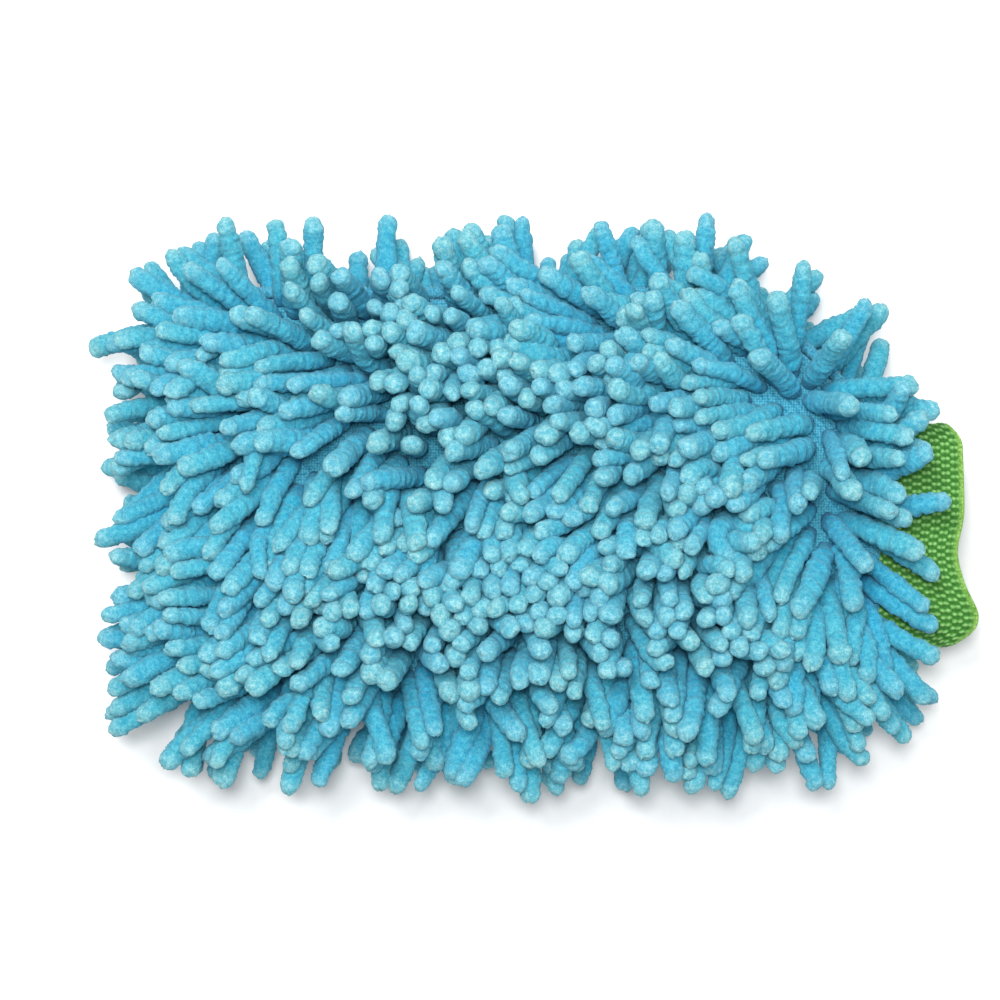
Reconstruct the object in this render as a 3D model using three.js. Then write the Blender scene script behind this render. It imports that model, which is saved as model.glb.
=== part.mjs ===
// Chenille wash mitt: a two-sided hand pocket of base cloth with rows of soft chenille
// fingers on the back and on the palm, a lining inside, and an elastic cuff at the mouth.
//
// Millimetres. The mitt lies flat on its palm: +X runs from the fingertips to the cuff,
// +Y across the hand, +Z up. The origin is under the middle of the mitt, on the surface.

import * as THREE from "three";

// ---------------------------------------------------------------- driving dimensions

// Where the two panels are sewn together, seen from above.
const SEAM = {
  fingertipX: -107,
  mouthX: 98.6,
  upperY: 62,
  lowerY: -61,
  mouthUpperY: 24.5,
  mouthLowerY: -42.5,
  cornerRadius: 17,
  upperTaperX: 50,
  lowerTaperX: 76,
};

// How far the pile reaches, seen from above.
const PILE = {
  fingertipX: -130.5,
  mouthX: 114,
  upperY: 83.5,
  lowerY: -83.5,
  mouthUpperY: 31.5,
  mouthLowerY: -53.5,
  cornerRadius: 20,
  upperTaperX: 45,
  lowerTaperX: 92,
};
const TAPER_POWER = 1.65; // how late the sides turn in towards the cuff

const SEAM_Z = 29; // height of the sewn edge, and of both fold lines
const PILE_TOP_Z = 64;
const PILE_EDGE_Z = 36; // lowest tips of the back pile, along the sides
const PILE_MOUTH_EDGE_Z = 47; // and over the cuff, so that the cuff can tilt below them
const PILE_DOME = 40; // width of the rounding from the top of the pile to its edge

const POCKET_RISE = 11; // how far each panel bows away from the seam plane
const MOUTH_RISE = 7;
const POCKET_ROUNDING = 28; // width of the bow between the seam and the flat middle
const MOUTH_NARROWS_X = 55; // from here the pocket gets lower towards the mouth

// Layers of one panel, measured outwards from the pocket's own surface.
const LINING = { inner: 0.15, outer: 0.95 };
const CLOTH = { inner: 1.25, outer: 2.75 };
const PILE_ROOT = 3.75;

// The mitt folds at the knuckles, about a line across it at X = 0.
const FOLD_GAP = 0.3;
const BACK_FOLD_DEG = 25; // how far the fingers bend back
const PALM_FOLD_DEG = 40; // how far they curl towards the palm

const ROWS_PER_HALF = 10;
const ROW_GAP = 0.9;
const ROW_INSET = 1; // rows stop this far inside the seam
const ROW_STEPS = 14; // divisions along one row
const TUFT_DEPTH = 1.6; // depth of the scallops along a row's top

const SEAM_BEAD_RADIUS = 1.8;
const SEAM_BEAD_SIDES = 8;

const CUFF = {
  hingeX: 102.2,
  startX: 103.9,
  centreY: -9,
  halfWidth: 33.5,
  halfHeight: 9.5,
  wall: 1.8,
  length: 22.6, // from its sewn end to its plain outer edge
  flare: 4.455, // the extra length where the outer edge bulges
  flareY: -29,
  flareWidth: 13,
};
const MOUTH_RING = { startX: 98.9, endX: 100.5, wall: 3.2, halfHeight: 9.7 };
const CUFF_JOIN = { width: 6, thickness: 1.2, inset: 1.5 };

// ---------------------------------------------------------------- materials

const chenilleBlue = new THREE.MeshStandardMaterial({
  color: 0x66b6cf,
  roughness: 0.95,
  metalness: 0,
});
const clothBlue = new THREE.MeshStandardMaterial({
  color: 0x3f93ba,
  roughness: 0.95,
  metalness: 0,
});
const liningBlue = new THREE.MeshStandardMaterial({
  color: 0x8fc4d8,
  roughness: 0.9,
  metalness: 0,
});
const threadBlue = new THREE.MeshStandardMaterial({
  color: 0x2f7fa8,
  roughness: 0.85,
  metalness: 0,
});
const elasticGreen = new THREE.MeshStandardMaterial({
  color: 0x5a954a,
  roughness: 0.85,
  metalness: 0,
});
const threadGreen = new THREE.MeshStandardMaterial({
  color: 0x3f7a35,
  roughness: 0.85,
  metalness: 0,
});

// ---------------------------------------------------------------- outlines and surfaces

const { lerp, clamp, degToRad } = THREE.MathUtils;

// The upper side (+Y) of an outline at x: a corner arc, a straight side, a taper.
function upperSide(outline, x) {
  const arcEndX = outline.fingertipX + outline.cornerRadius;
  if (x < arcEndX) {
    const across = Math.min(arcEndX - x, outline.cornerRadius);
    return outline.upperY - outline.cornerRadius + Math.sqrt(outline.cornerRadius ** 2 - across ** 2);
  }
  const t = clamp((x - outline.upperTaperX) / (outline.mouthX - outline.upperTaperX), 0, 1);
  return lerp(outline.upperY, outline.mouthUpperY, t ** TAPER_POWER);
}

// The lower side (-Y) of an outline at x.
function lowerSide(outline, x) {
  const arcEndX = outline.fingertipX + outline.cornerRadius;
  if (x < arcEndX) {
    const across = Math.min(arcEndX - x, outline.cornerRadius);
    return outline.lowerY + outline.cornerRadius - Math.sqrt(outline.cornerRadius ** 2 - across ** 2);
  }
  const t = clamp((x - outline.lowerTaperX) / (outline.mouthX - outline.lowerTaperX), 0, 1);
  return lerp(outline.lowerY, outline.mouthLowerY, t ** TAPER_POWER);
}

// 0 at an edge, rising smoothly to 1 at `width` from it.
function rounding(distance, width) {
  return Math.sin((Math.PI / 2) * clamp(distance / width, 0, 1));
}

// How far a panel stands from the seam plane at (x, y).
function pocketRise(x, y) {
  const sideways = Math.min(upperSide(SEAM, x) - y, y - lowerSide(SEAM, x));
  const lengthways = x - SEAM.fingertipX;
  const towardsMouth = clamp((x - MOUTH_NARROWS_X) / (SEAM.mouthX - MOUTH_NARROWS_X), 0, 1);
  const fullRise = lerp(POCKET_RISE, MOUTH_RISE, towardsMouth);
  return fullRise * rounding(sideways, POCKET_ROUNDING) * rounding(lengthways, POCKET_ROUNDING);
}

// ---------------------------------------------------------------- solids

// A closed block of stepsX x stepsY x stepsZ cells whose corners are moved to
// place(a, b, c), with fractions along X, Y and Z. Opposite faces share their diagonals, so
// two blocks that follow each other closely stay apart. One of the three steps must be 1.
function shapedBlock(stepsX, stepsY, stepsZ, place) {
  const positions = [];
  for (let i = 0; i <= stepsX; i++)
    for (let j = 0; j <= stepsY; j++)
      for (let k = 0; k <= stepsZ; k++)
        positions.push(...place(i / stepsX, j / stepsY, k / stepsZ).toArray());

  const at = (i, j, k) => (i * (stepsY + 1) + j) * (stepsZ + 1) + k;
  const triangles = [];
  const addQuad = (a, b, c, d, facesOut) => {
    if (facesOut) triangles.push(a, b, c, a, c, d);
    else triangles.push(a, c, b, a, d, c);
  };
  for (let i = 0; i < stepsX; i++)
    for (let j = 0; j < stepsY; j++)
      for (const k of [0, stepsZ])
        addQuad(at(i, j, k), at(i + 1, j, k), at(i + 1, j + 1, k), at(i, j + 1, k), k > 0);
  for (let j = 0; j < stepsY; j++)
    for (let k = 0; k < stepsZ; k++)
      for (const i of [0, stepsX])
        addQuad(at(i, j, k), at(i, j + 1, k), at(i, j + 1, k + 1), at(i, j, k + 1), i > 0);
  for (let i = 0; i < stepsX; i++)
    for (let k = 0; k < stepsZ; k++)
      for (const j of [0, stepsY])
        addQuad(at(i, j, k), at(i, j, k + 1), at(i + 1, j, k + 1), at(i + 1, j, k), j > 0);

  const geometry = new THREE.BufferGeometry();
  geometry.setAttribute("position", new THREE.Float32BufferAttribute(positions, 3));
  geometry.setIndex(triangles);
  geometry.computeVertexNormals();
  return geometry;
}

// Which way a side faces, and how steep a wedge it leaves free at the fold.
const SIDES = {
  back: { up: 1, wedge: Math.tan(degToRad(BACK_FOLD_DEG / 2)) },
  palm: { up: -1, wedge: Math.tan(degToRad(PALM_FOLD_DEG / 2)) },
};
// Which way a half runs from the fold, and where its panels end.
const HALVES = {
  finger: { away: -1, endX: SEAM.fingertipX, pileEndX: PILE.fingertipX },
  hand: { away: 1, endX: SEAM.mouthX, pileEndX: PILE.mouthX },
};

// X of the free wedge's face at a given distance from the fold line.
function foldX(side, half, height) {
  return half.away * (FOLD_GAP + height * side.wedge);
}

// One layer of a panel: the base cloth or the lining of one side and one half.
function panelLayer(side, half, layer) {
  const stepsX = 10;
  const stepsY = 8;
  return shapedBlock(stepsX, stepsY, 1, (a, b, c) => {
    const fromFold = half.away > 0 ? a : 1 - a;
    const middleY = lerp(SEAM.lowerY, SEAM.upperY, b);
    const nearX = foldX(side, half, layer.outer + pocketRise(0, middleY));
    const x = lerp(nearX, half.endX, 1 - (1 - fromFold) ** 2);
    const y = lerp(lowerSide(SEAM, x), upperSide(SEAM, x), b);
    const outward = side.up > 0 ? c : 1 - c;
    const height = pocketRise(x, y) + lerp(layer.inner, layer.outer, outward);
    return new THREE.Vector3(x, y, SEAM_Z + side.up * height);
  });
}

// Height of the back pile's tips at (x, y), lower towards the edges of the mitt.
function pileTipZ(x, y) {
  const sideways = Math.min(upperSide(PILE, x) - y, y - lowerSide(PILE, x));
  const toFingertips = x - PILE.fingertipX;
  const toMouth = PILE.mouthX - x;
  const sideRound = rounding(sideways, PILE_DOME) * rounding(toFingertips, PILE_DOME);
  const domed = lerp(PILE_EDGE_Z, PILE_TOP_Z, sideRound);
  return Math.min(domed, lerp(PILE_MOUTH_EDGE_Z, PILE_TOP_Z, rounding(toMouth, PILE_DOME)));
}

// A point of the pile: `along` runs from the fold (0) to the end of the half (1), `across`
// from -Y to +Y, and `out` from the fingers' roots (0) to their tips (1).
function pilePoint(side, half, along, across, out) {
  const rootNearX = foldX(side, half, PILE_ROOT + POCKET_RISE);
  const rootX = lerp(rootNearX, half.endX - half.away * ROW_INSET, along);
  const rootY = lerp(lowerSide(SEAM, rootX) + ROW_INSET, upperSide(SEAM, rootX) - ROW_INSET, across);
  const rootZ = SEAM_Z + side.up * (PILE_ROOT + pocketRise(rootX, rootY));

  const reach = side.up > 0 ? PILE_TOP_Z - SEAM_Z : SEAM_Z;
  const tipX = lerp(foldX(side, half, reach), half.pileEndX, along);
  const tipY = lerp(lowerSide(PILE, tipX), upperSide(PILE, tipX), across);
  const tipZ = side.up > 0 ? pileTipZ(tipX, tipY) : 0;

  // The fingers rise from the cloth and then lean out, or lie crushed under the palm.
  const sideness = Math.abs(2 * across - 1) ** 3;
  const bendZ = side.up > 0 ? 0.75 : lerp(0.5, 0.25, sideness);
  const bendX = side.up > 0 ? lerp(0.75, 0.35, along) : lerp(0.5, 1, along);
  const bendY = side.up > 0 ? 0.6 : 1.05;
  const root = new THREE.Vector3(rootX, rootY, rootZ);
  const bend = new THREE.Vector3(
    lerp(rootX, tipX, bendX),
    lerp(rootY, tipY, bendY),
    lerp(rootZ, tipZ, bendZ),
  );
  const tip = new THREE.Vector3(tipX, tipY, tipZ);
  return new THREE.QuadraticBezierCurve3(root, bend, tip).getPoint(out);
}

// One row of chenille fingers, gathered into a single soft bar across the hand.
function pileRow(side, half, index) {
  const stepsOut = 2;
  const length = Math.abs(half.pileEndX);
  const gap = ROW_GAP / 2 / length;
  const near = index / ROWS_PER_HALF + gap;
  const far = (index + 1) / ROWS_PER_HALF - gap;
  return shapedBlock(1, ROW_STEPS, stepsOut, (a, b, c) => {
    const along = half.away > 0 ? lerp(near, far, a) : lerp(far, near, a);
    const out = side.up > 0 ? c : 1 - c;
    const spot = pilePoint(side, half, along, b, out);
    const betweenTufts = Math.round(b * ROW_STEPS) % 2 === 0;
    if (side.up > 0 && out === 1 && betweenTufts) spot.z -= TUFT_DEPTH;
    return spot;
  });
}

// A round bead of overlock stitching along a list of points at the seam's height.
function seamBead(points) {
  const path = new THREE.CatmullRomCurve3(points, false, "centripetal");
  const section = new THREE.Shape();
  section.absarc(0, 0, SEAM_BEAD_RADIUS, 0, Math.PI * 2);
  return new THREE.ExtrudeGeometry(section, {
    extrudePath: path,
    steps: 4 * points.length,
    curveSegments: SEAM_BEAD_SIDES / 2,
    bevelEnabled: false,
  });
}

const BEAD_OUT = SEAM_BEAD_RADIUS + 0.4; // the bead's middle lies this far outside the cloth
const BEAD_FOLD_X = FOLD_GAP + SEAM_BEAD_RADIUS * SIDES.palm.wedge;

// Points outside one corner of the fingertip end, from `startAngle` a quarter turn on.
function cornerPoints(centreY, startAngle) {
  const centreX = SEAM.fingertipX + SEAM.cornerRadius;
  const radius = SEAM.cornerRadius + BEAD_OUT;
  return [0, 1, 2, 3, 4].map((step) => {
    const angle = startAngle + (step * Math.PI) / 8;
    return new THREE.Vector3(
      centreX + radius * Math.cos(angle),
      centreY + radius * Math.sin(angle),
      SEAM_Z,
    );
  });
}

function fingertipSeam() {
  return seamBead([
    new THREE.Vector3(-BEAD_FOLD_X, SEAM.upperY + BEAD_OUT, SEAM_Z),
    new THREE.Vector3(-BEAD_FOLD_X - 40, SEAM.upperY + BEAD_OUT, SEAM_Z),
    ...cornerPoints(SEAM.upperY - SEAM.cornerRadius, Math.PI / 2),
    ...cornerPoints(SEAM.lowerY + SEAM.cornerRadius, Math.PI),
    new THREE.Vector3(-BEAD_FOLD_X - 40, SEAM.lowerY - BEAD_OUT, SEAM_Z),
    new THREE.Vector3(-BEAD_FOLD_X, SEAM.lowerY - BEAD_OUT, SEAM_Z),
  ]);
}

// The seam along one side of the hand half, from the fold to the mouth.
function sideSeam(sideOf, outwards) {
  const steps = 9;
  const endX = SEAM.mouthX - 1;
  const points = [];
  for (let i = 0; i <= steps; i++) {
    const x = lerp(BEAD_FOLD_X, endX, i / steps);
    const slope = sideOf(SEAM, x + 0.5) - sideOf(SEAM, x - 0.5);
    const normal = new THREE.Vector2(-slope * outwards, outwards).normalize().multiplyScalar(BEAD_OUT);
    points.push(new THREE.Vector3(x + normal.x, sideOf(SEAM, x) + normal.y, SEAM_Z));
  }
  return seamBead(points);
}

// A flat oval ring across the mitt: extruded along X from startX.
function ovalRing(startX, length, halfWidth, halfHeight, wall, steps) {
  const outer = new THREE.Shape();
  outer.absellipse(0, 0, halfWidth, halfHeight, 0, Math.PI * 2);
  const inner = new THREE.Path();
  inner.absellipse(0, 0, halfWidth - wall, halfHeight - wall, 0, Math.PI * 2);
  outer.holes.push(inner);
  const curveSegments = 14;
  const ring = new THREE.ExtrudeGeometry(outer, { depth: length, steps, curveSegments, bevelEnabled: false });
  ring.rotateX(Math.PI / 2); // the oval's height now runs along the extrusion's side, as Z
  ring.rotateZ(Math.PI / 2); // and the extrusion itself along +X
  ring.translate(startX, CUFF.centreY, SEAM_Z);
  return ring;
}

// The elastic band: its outer edge isn't straight, it bulges near one end.
function cuffBand() {
  const band = ovalRing(CUFF.startX, CUFF.length, CUFF.halfWidth, CUFF.halfHeight, CUFF.wall, 3);
  const spots = band.getAttribute("position");
  for (let i = 0; i < spots.count; i++) {
    const share = (spots.getX(i) - CUFF.startX) / CUFF.length;
    const bulge = Math.exp(-(((spots.getY(i) - CUFF.flareY) / CUFF.flareWidth) ** 2));
    spots.setX(i, spots.getX(i) + share ** 2 * CUFF.flare * bulge);
  }
  return band;
}

// The stitched lap where the elastic's two ends meet, inside the cuff.
function cuffLap() {
  const length = CUFF.length - 2 * CUFF_JOIN.inset;
  const lap = new THREE.BoxGeometry(length, CUFF_JOIN.width, CUFF_JOIN.thickness);
  const lapZ = SEAM_Z - CUFF.halfHeight + CUFF.wall + CUFF_JOIN.thickness / 2 + 0.4;
  lap.translate(CUFF.startX + CUFF.length / 2, CUFF.centreY, lapZ);
  return lap;
}

// ---------------------------------------------------------------- assembly

const mitt = new THREE.Group();

function addPiece(name, geometry, material) {
  const piece = new THREE.Mesh(geometry, material);
  piece.name = name;
  mitt.add(piece);
}

for (const [sideName, side] of Object.entries(SIDES)) {
  for (const [halfName, half] of Object.entries(HALVES)) {
    addPiece(`${sideName}_cloth_${halfName}`, panelLayer(side, half, CLOTH), clothBlue);
    addPiece(`${sideName}_lining_${halfName}`, panelLayer(side, half, LINING), liningBlue);
    for (let row = 0; row < ROWS_PER_HALF; row++) {
      const number = String(row + 1).padStart(2, "0");
      addPiece(`${sideName}_${halfName}_chenille_row_${number}`, pileRow(side, half, row), chenilleBlue);
    }
  }
}
addPiece("fingertip_seam", fingertipSeam(), threadBlue);
addPiece("upper_side_seam", sideSeam(upperSide, 1), threadBlue);
addPiece("lower_side_seam", sideSeam(lowerSide, -1), threadBlue);

const ringLength = MOUTH_RING.endX - MOUTH_RING.startX;
const mouthRing = ovalRing(
  MOUTH_RING.startX,
  ringLength,
  CUFF.halfWidth,
  MOUTH_RING.halfHeight,
  MOUTH_RING.wall,
  1,
);
addPiece("cuff_joining_seam", mouthRing, threadGreen);
addPiece("elastic_cuff", cuffBand(), elasticGreen);
addPiece("cuff_lap_seam", cuffLap(), threadGreen);

export default mitt;
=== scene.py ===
import math

import bmesh
import bpy
import numpy as np
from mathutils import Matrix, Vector, kdtree


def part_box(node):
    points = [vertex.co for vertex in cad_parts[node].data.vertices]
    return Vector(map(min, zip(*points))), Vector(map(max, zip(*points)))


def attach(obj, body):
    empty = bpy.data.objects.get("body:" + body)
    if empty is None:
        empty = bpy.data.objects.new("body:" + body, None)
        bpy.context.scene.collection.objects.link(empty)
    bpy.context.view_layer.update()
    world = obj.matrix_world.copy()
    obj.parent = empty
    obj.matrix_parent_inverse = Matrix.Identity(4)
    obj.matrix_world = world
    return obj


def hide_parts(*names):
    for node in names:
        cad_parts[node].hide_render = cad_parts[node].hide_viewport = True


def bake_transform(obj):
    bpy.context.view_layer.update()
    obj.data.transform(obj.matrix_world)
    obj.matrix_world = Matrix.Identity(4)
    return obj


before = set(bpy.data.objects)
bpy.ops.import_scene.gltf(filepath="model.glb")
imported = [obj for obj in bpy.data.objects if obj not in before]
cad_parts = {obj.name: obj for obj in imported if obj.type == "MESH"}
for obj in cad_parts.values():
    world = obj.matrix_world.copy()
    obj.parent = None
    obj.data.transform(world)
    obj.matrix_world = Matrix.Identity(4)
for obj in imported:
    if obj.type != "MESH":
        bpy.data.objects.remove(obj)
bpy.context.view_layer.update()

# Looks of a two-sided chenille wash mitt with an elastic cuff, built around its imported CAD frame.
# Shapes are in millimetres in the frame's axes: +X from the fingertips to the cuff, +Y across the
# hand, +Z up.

MM = 0.001
SEED = 67  # picked by a search over seeds, for how well the pile's outline fits the photo

# ---------------------------------------- sizes from the frame


def box_mm(node):
    """Lowest and highest corner of a CAD node, in millimetres."""
    low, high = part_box(node)
    return low / MM, high / MM


FINGER_CLOTH = box_mm("back_cloth_finger")
HAND_CLOTH = box_mm("back_cloth_hand")
CUFF_BOX = box_mm("elastic_cuff")
RING_BOX = box_mm("cuff_joining_seam")
SEAM_BOX = box_mm("fingertip_seam")

FINGERTIP_X = FINGER_CLOTH[0].x
MOUTH_X = HAND_CLOTH[1].x
UPPER_Y = FINGER_CLOTH[1].y
LOWER_Y = FINGER_CLOTH[0].y
SEAM_Z = (SEAM_BOX[0].z + SEAM_BOX[1].z) / 2
CUFF_Y = (CUFF_BOX[0].y + CUFF_BOX[1].y) / 2
CUFF_HALF_WIDTH = (CUFF_BOX[1].y - CUFF_BOX[0].y) / 2
CUFF_HALF_HEIGHT = (CUFF_BOX[1].z - CUFF_BOX[0].z) / 2

# The outline of the sewn panels: rounded fingertip corners, sides that turn in to the mouth.
CORNER_RADIUS = 17
UPPER_TAPER_X = 50
LOWER_TAPER_X = 76
TAPER_POWER = 1.65
MOUTH_UPPER_Y = CUFF_Y + CUFF_HALF_WIDTH
MOUTH_LOWER_Y = CUFF_Y - CUFF_HALF_WIDTH

# The panels' bow away from the seam plane, and their layers, as in the CAD.
CLOTH_INNER, CLOTH_OUTER = 1.25, 2.75
LINING_INNER, LINING_OUTER = 0.15, 0.95
POCKET_RISE = FINGER_CLOTH[1].z - SEAM_Z - CLOTH_OUTER
MOUTH_RISE = 7
POCKET_ROUNDING = 28
EDGE_BLEND = 3  # the panels and the cuff reach their height this far inside their edges
MOUTH_NARROWS_X = 55

KNUCKLE_X = 0
KNUCKLE_REACH = 38  # rows that reach within this much of the knuckles on either side are left unattached to a half

SEAM_BEAD_RADIUS = 1.8
SEAM_BEAD_OUTSIDE = 2.2
OVERLOCK_PITCH = 2.2
THREAD_RADIUS = 0.3

# The elastic cuff: woven band from under the mouth's binding to its rolled selvedge.
CUFF_START_X = 100.2
CUFF_EDGE_X = 126.0
CUFF_WOVEN = CUFF_EDGE_X - CUFF_START_X
CUFF_THICKNESS = 1.5
CUFF_AROUND = 500  # points around the band
CUFF_STEP = 0.29  # between points along it
CUFF_EDGE_SPREAD = 7.5
CUFF_DIP, CUFF_DIP_Y = 2.0, -13.5
CUFF_BULGE, CUFF_BULGE_Y = 4.6, -33.5
CUFF_CORNER_DROP = 4.5
CUFF_RUFFLE, CUFF_RUFFLES = 0.35, 5
OVAL_POINTS = 721
SELVEDGE_RADIUS = 0.8
SELVEDGE_WRAP = 112  # degrees that the selvedge rolls round to each side
SELVEDGE_RIB = 0.06
DASH_PITCH = 1.45  # between columns of dashes, along the cuff; the columns come in pairs
DASH_ROWS = 64  # around the cuff
DASH_HALF_ROW, DASH_HALF_COLUMN = 0.29, 0.6
DASH_HEIGHT = 0.36
ROWS_OVER_CUFF = 3

# The binding around the mouth, and the two rows of zigzag stitches.
BINDING_HALF_WIDTH, BINDING_HALF_THICKNESS, BINDING_LIFT = 2.1, 1.0, 0.3
PUCKER = 0.12
MOUTH_STITCHES, MOUTH_STITCH_WIDTH = 62, 1.5
LAP_STITCHES, LAP_STITCH_WIDTH = 9, 1.7
LAP_SQUARENESS = 0.45  # 1 would make the lap's section an ellipse, 0 a rectangle

# ---------------------------------------- the chenille

ROWS_PER_HALF = 10
FINGER_SPACING = {"back": 3.7, "palm": 5.2}  # between neighbours in a row, across the mitt
EDGE_CROWDING = 0.2  # how much closer the fingers are sewn along the long sides
END_CROWDING = 0.78  # spacing of the last row at the fingertips and at the mouth
FINGER_LENGTH = 29.2
FINGER_RADIUS = 3.05
SQUEEZED_RADIUS = 2.6  # the settling pushes the knots of two fingers apart to twice this
CHAIN_KNOTS = 8
SETTLING_ROUNDS = 170
ROOT_MARGIN = 1.2
ROOT_JITTER = 0.55
FLOOR_GAP = 0.05
PALM_MIDDLE = (-8, -4)
EDGE_DROOP = 22  # degrees by which the fingers sewn at the edge bend back over the seam
MOUTH_MARGIN = 1.2  # the hand half's rows end this far from the mouth

# How much the fingers differ, and how each starts before the settling. Angles are in degrees.
LENGTH_SPREAD = (0.92, 1.06)
THICKNESS_SPREAD = (0.88, 1.12)
LEAN_JITTER, LEAN_RANGE = 0.07, (0.02, 0.98)
FLAT_SCATTER, UPRIGHT_SCATTER, PALM_SCATTER = 10, 30, 28  # of the heading; the second is added
CURL = 18
ROOT_DEPTH = 0.3  # how far inside the base cloth's outside a finger starts
EDGE_WIDTH = 14  # fingers sewn this near the seam bend back over it
START_TILT, EDGE_TILT = 42, 20  # of a flat finger away from upright, and more at the edge
LEANS_BY = 0.5  # the share of its length in which a finger reaches its lean
STAND_OFF = 0.7  # how strongly the sewn end follows the cloth's normal
PALM_FAN = (95, 52)
PALM_LEAN = 0.92

# The settling. The first of each pair fades away as it goes, the second stays.
PULL_TO_LAY, LASTING_PULL = 0.05, 0.01
GRAVITY = 0.05
FADING_GRAVITY, LASTING_GRAVITY = 0.7, 0.3
STIFFNESS = 0.2
PUSH_SHARE = 0.32
LINK_SHARE = 0.35
PALM_SQUEEZE = 0.92
SEWN_END_RADII = (0.35, 0.72, 0.92)  # shares of the radius at the first three knots
PAIR_ROUNDS = 8  # the pairs of near knots are looked up afresh every so many rounds
PAIR_MARGIN = 1.2
COVERED_HEIGHT = 0.5
SKIN_SHARE = 0.8

# The skin of a finger: rings along it and points around it, and its relief as shares of the radius.
DETAIL = {"back": (62, 15), "palm": (46, 11)}
TIP_ANGLES = np.radians([18, 36, 53, 68, 80])
TUFTS, RIDGES, LUMPS, FUZZ = 0.058, 0.014, 0.026, 0.03
SWELL, SWELL_WAVES = 0.032, (6, 13)
NARROWING = (0, 0.14)
NARROWS_FROM, NARROWS_OVER = 0.7, 0.3
SEWN_END, SEWN_END_LENGTH = 0.62, 0.18
FLATTENED = (0, 0.1)
TIP_REACH = (0.8, 1.15)  # how far the tip's round end is drawn out

# How the back's fingers lie: (x, y, heading in degrees, lean from 0 upright to 1 flat),
# noted at places where the pile shows a clear lay. A finger is sewn some way behind the place where
# it shows, and the lay blends from place to place.
LAY_SHOWS_AHEAD = 11
LAY_BLEND = 4.0
LAY_FALLOFF = 2.2
LAY_OF_THE_PILE = [
    # the fingertip corner on the upper side
    (-117, 76, 132, 0.98), (-114, 71, 142, 0.98), (-103, 76, 122, 0.98), (-90, 76, 98, 0.98),
    (-102, 56, 168, 0.90), (-78, 80, 90, 0.95), (-46, 65, 90, 0.20), (-93, 44, 185, 0.75),
    (-115, 29, 198, 0.65), (-72, 32, 190, 0.75),
    # the fingertip end
    (-111, 2, 225, 0.85), (-84, 8, 225, 0.85), (-57, -1, 268, 0.85), (-69, -16, 240, 0.70),
    (-60, -28, 250, 0.30), (-114, -34, 205, 0.80), (-93, -46, 210, 0.70), (-72, -52, 220, 0.60),
    (-119, -78, 230, 0.98), (-110, -80, 234, 0.98), (-100, -76, 240, 0.98),
    (-90, -73, 240, 0.90), (-63, -70, 258, 0.95),
    # the knuckles
    (-33, 26, 200, 0.20), (-30, 47, 180, 0.35), (-9, 74, 130, 0.92), (18, 72, 125, 0.82),
    (6, 53, 180, 0.85), (-15, 35, 170, 0.30), (21, 35, 180, 0.35), (-27, -4, 245, 0.65),
    (6, -1, 235, 0.70), (-6, -28, 265, 0.30), (-33, -34, 260, 0.15), (6, -40, 270, 0.25),
    (-33, -70, 270, 0.92), (6, -70, 272, 0.92), (30, -58, 268, 0.70),
    # the back of the hand
    (45, 69, 110, 0.80), (45, 54, 155, 0.75), (63, 50, 138, 0.85), (33, 32, 185, 0.50),
    (59, 27, 188, 0.85), (72, 17, 215, 0.70), (45, 2, 240, 0.50), (48, -31, 265, 0.20),
    (72, -16, 235, 0.90), (60, -70, 266, 0.92), (81, -52, 270, 0.80),
    # around the mouth
    (81, 60, 70, 0.75), (96, 49, 30, 0.80), (97, 32, 5, 0.70), (86, 12, 275, 0.30),
    (105, 17, 8, 0.70), (105, 8, 8, 0.62), (104, -3, 352, 0.80), (93, -28, 272, 0.95),
    (106, -14, 332, 0.97), (112, -24, 325, 0.98), (114, -34, 332, 0.98), (95, -70, 285, 0.95),
    (112, -50, 325, 0.98), (110, -62, 314, 0.98), (100, -72, 292, 0.98),
]  # fmt: skip

# ---------------------------------------- camera, light, floor

VIEW_WIDTH = 300  # millimetres across the frame, at the height of the mitt's outline
VIEW_CENTRE = (-11.7, 1.8)
OUTLINE_HEIGHT = 32
LENS, SENSOR = 100.0, 36.0


def add_camera():
    """A camera straight above the mitt."""
    data = bpy.data.cameras.new("Camera")
    data.lens = LENS
    data.sensor_width = SENSOR
    camera = bpy.data.objects.new("Camera", data)
    distance = VIEW_WIDTH * LENS / SENSOR
    camera.location = Vector((*VIEW_CENTRE, OUTLINE_HEIGHT + distance)) * MM
    bpy.context.scene.collection.objects.link(camera)
    bpy.context.scene.camera = camera


def add_area_light(name, location, size, power):
    """A round soft light that faces the mitt."""
    data = bpy.data.lights.new(name, "AREA")
    data.shape = "DISK"
    data.size = size
    data.energy = power
    light = bpy.data.objects.new(name, data)
    light.location = location
    aim = Vector((0, 0, 0.03)) - Vector(location)
    light.rotation_euler = aim.to_track_quat("-Z", "Y").to_euler()
    bpy.context.scene.collection.objects.link(light)


def add_studio():
    """Soft light from above and a pale floor."""
    add_area_light("key", (-0.2, 0.36, 1.0), 0.35, 7.0)
    add_area_light("top", (-0.03, 0.1, 1.1), 0.2, 7.4)
    add_area_light("fill", (0.6, 0.3, 0.95), 0.8, 2.2)

    world = bpy.data.worlds.new("Studio")
    world.use_nodes = True
    background = world.node_tree.nodes["Background"]
    background.inputs["Color"].default_value = (0.96, 0.98, 1.0, 1)
    background.inputs["Strength"].default_value = 0.42
    bpy.context.scene.world = world
    bpy.context.scene.view_settings.view_transform = "Standard"

    bpy.ops.mesh.primitive_plane_add(size=6, location=(0, 0, 0))
    floor = bpy.context.object
    floor.name = "floor"
    floor.data.materials.append(floor_material())


# ---------------------------------------- the mitt's surfaces


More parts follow.
